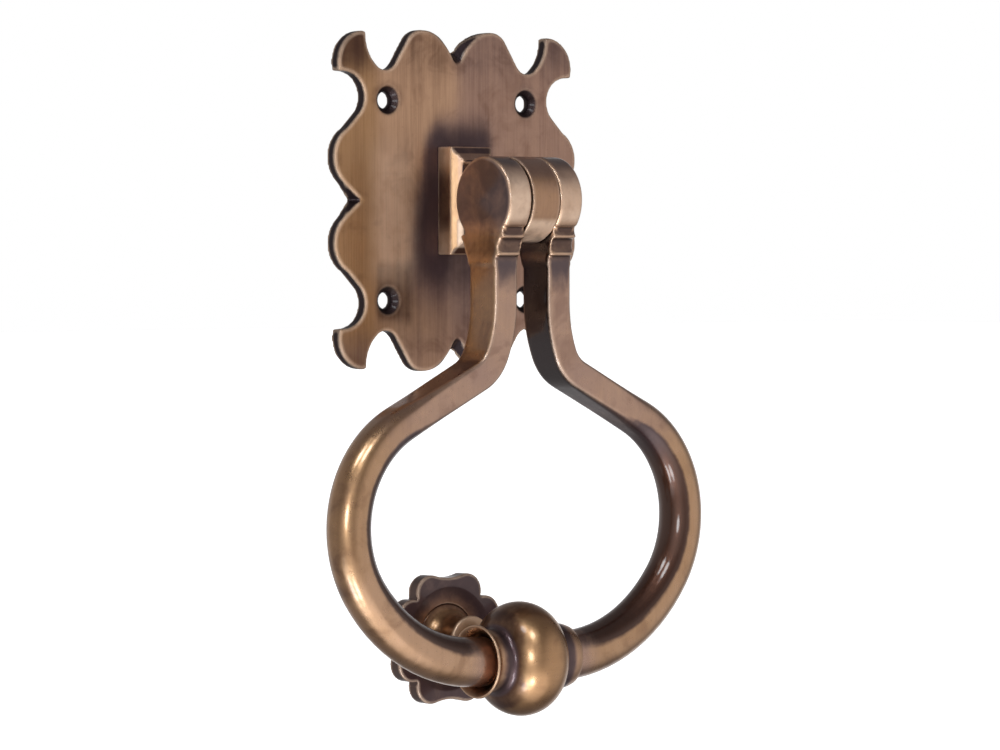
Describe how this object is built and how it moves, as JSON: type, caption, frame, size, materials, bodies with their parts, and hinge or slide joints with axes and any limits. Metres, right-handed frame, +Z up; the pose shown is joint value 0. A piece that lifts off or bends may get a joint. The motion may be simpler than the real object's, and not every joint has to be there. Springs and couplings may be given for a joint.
{
  "type": "ring door knocker",
  "caption": "Ring door knocker with a scalloped backplate, a hinged two-part ring, a turned striker bead and a separate strike stud on a rosette.",
  "frame": {"origin": "middle of the backplate's back face, on the door", "axes": "+Z up, -Y out from the door towards the caller, +X to the caller's right"},
  "size_m": [0.14, 0.049, 0.2015],
  "materials": {
    "plate_brass": "aged, brushed, lacquered",
    "block_brass": "aged, lacquered",
    "bow_brass": "aged, polished, lacquered",
    "bead_brass": "aged, turned and polished",
    "strike_brass": "dark aged casting",
    "stud_brass": "turned, lightly aged",
    "screw_brass": "plain turned brass",
    "pin_steel": "plain ground steel"
  },
  "bodies": {
    "base": {"backplate": "plate_brass", "hinge_block": "block_brass", "block_screw_upper": "screw_brass", "block_screw_lower": "screw_brass", "strike_rosette": "strike_brass", "strike_stud": "stud_brass"},
    "bow": {"bow_left": "bow_brass", "bow_right": "bow_brass", "pivot_pin": "pin_steel", "striker_bead": "bead_brass", "bead_dowel": "pin_steel", "lock_pin_left": "pin_steel", "lock_pin_right": "pin_steel"}
  },
  "joints": [
    {"name": "bow_hinge", "type": "hinge", "parent": "base", "child": "bow", "pos_m": [0, -0.0322, 0], "axis": [-1, 0, 0], "range_deg": [0, 186]}
  ]
}
